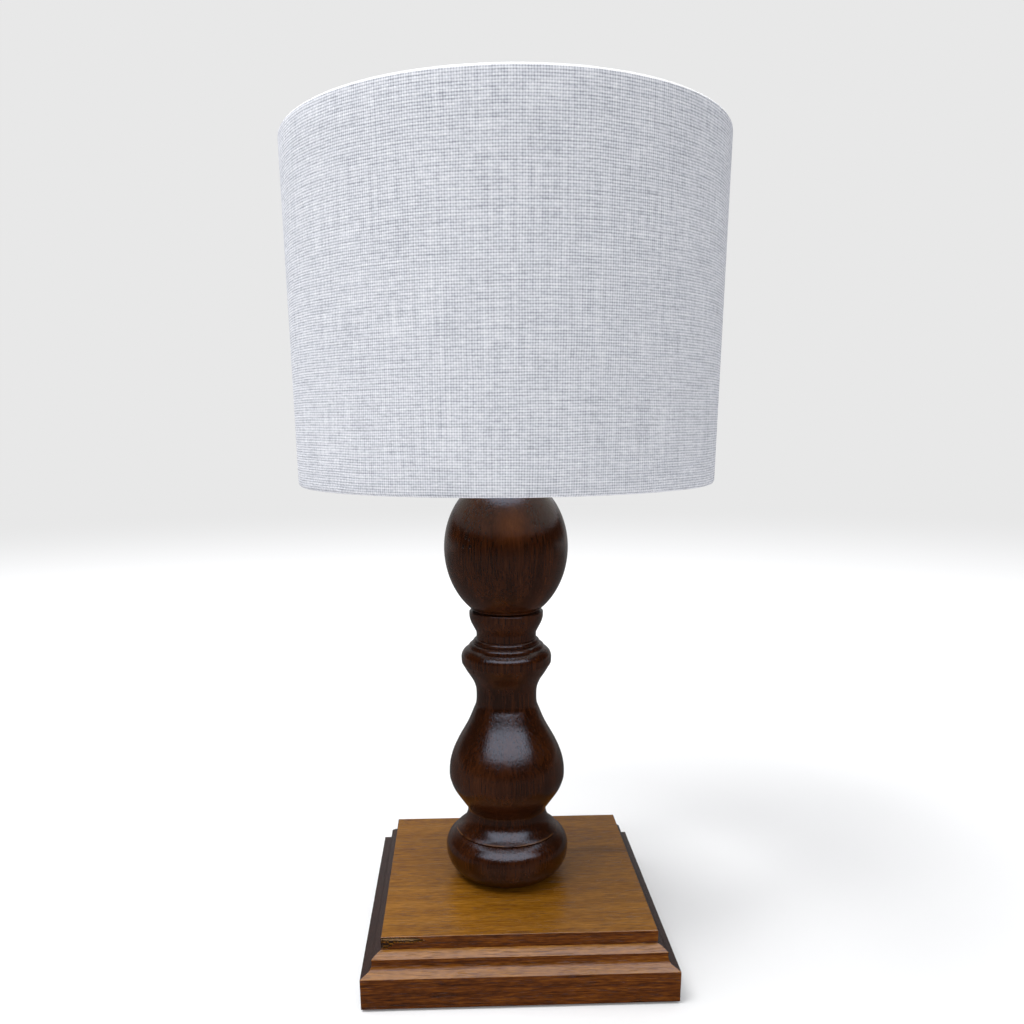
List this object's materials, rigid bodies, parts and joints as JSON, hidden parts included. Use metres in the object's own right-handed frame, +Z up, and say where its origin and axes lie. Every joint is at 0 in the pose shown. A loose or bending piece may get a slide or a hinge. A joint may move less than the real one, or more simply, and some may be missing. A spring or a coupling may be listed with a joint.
{
  "type": "candlestick table lamp",
  "caption": "Table lamp: turned dark wood baluster on a moulded square plinth, with a linen drum shade carried by a harp over a turn-knob socket.",
  "frame": {"origin": "middle of the underside, on the surface the lamp stands on", "axes": "+Z up along the column, -Y the front, X and Y along the plinth's sides"},
  "size_m": [0.3048, 0.3048, 0.5972],
  "materials": {
    "plinth_wood": "satin varnish, golden brown",
    "column_wood": "semi-gloss varnish over dark stain",
    "felt": "needled felt",
    "linen": "plain weave linen",
    "styrene": "matt white sheet",
    "brass": "lacquered, polished",
    "nickel": "bright nickel plate",
    "zinc": "zinc plate",
    "white_wire": "white powder coat",
    "fibre": "pressed fibre",
    "phenolic": "moulded, black",
    "black_plastic": "moulded, black",
    "bush_plastic": "flexible bush, matt black",
    "cap_alloy": "drawn, bright",
    "bulb_glass": "opal white, satin",
    "tip_glass": "black insulating glass"
  },
  "bodies": {
    "lamp": {"base_plinth": "plinth_wood", "felt_pad": "felt", "cord_grommet": "bush_plastic", "lower_column": "column_wood", "upper_column": "column_wood", "lamp_rod": "zinc", "base_washer": "zinc", "base_nut": "zinc", "lock_nut": "brass", "check_ring": "brass", "harp_saddle": "nickel", "socket_cap": "brass", "socket_shell": "brass", "socket_sleeve": "fibre", "socket_core": "phenolic", "terminal_screws": "brass", "screw_shell": "brass", "centre_contact": "brass"},
    "switch": {"switch_knob": "black_plastic"},
    "harp_frame": {"harp": "nickel"},
    "left_ferrule": {"ferrule_left": "nickel"},
    "right_ferrule": {"ferrule_right": "nickel"},
    "swivel": {"harp_stud": "nickel"},
    "shade": {"shade_spider": "white_wire", "shade_bottom_ring": "white_wire", "shade_lining": "styrene", "shade_fabric": "linen"},
    "finial_knob": {"finial": "brass"},
    "bulb_end": {"bulb_tip": "tip_glass"},
    "bulb": {"bulb_cap": "cap_alloy", "bulb_glass": "bulb_glass"}
  },
  "joints": [
    {"name": "switch_turn", "type": "hinge", "parent": "lamp", "child": "switch", "pos_m": [0, -0.02, 0.40728], "axis": [0, -1, 0], "continuous": true},
    {"name": "harp_lift", "type": "slide", "parent": "lamp", "child": "harp_frame", "axis": [0, 0, 1], "range_m": [0, 0.03]},
    {"name": "left_ferrule_slide", "type": "slide", "parent": "harp_frame", "child": "left_ferrule", "axis": [0, 0, 1], "range_m": [0, 0.012]},
    {"name": "right_ferrule_slide", "type": "slide", "parent": "harp_frame", "child": "right_ferrule", "axis": [0, 0, 1], "range_m": [0, 0.012]},
    {"name": "shade_turn", "type": "hinge", "parent": "harp_frame", "child": "swivel", "pos_m": [0, 0, 0.56768], "axis": [0, 0, 1], "continuous": true},
    {"name": "shade_lift", "type": "slide", "parent": "swivel", "child": "shade", "axis": [0, 0, 1], "range_m": [0, 0.2]},
    {"name": "finial_turn", "type": "hinge", "parent": "shade", "child": "finial_knob", "pos_m": [0, 0, 0.57568], "axis": [0, 0, 1], "continuous": true},
    {"name": "bulb_rise", "type": "slide", "parent": "lamp", "child": "bulb_end", "axis": [0, 0, 1], "range_m": [0, 0.0255]},
    {"name": "bulb_turn", "type": "hinge", "parent": "bulb_end", "child": "bulb", "pos_m": [0, 0, 0.43278], "axis": [0, 0, 1], "range_deg": [0, 2520]}
  ],
  "couplings": [
    {"joint": "bulb_rise", "follows": "bulb_turn", "m_per_rad": 0.00057757}
  ]
}
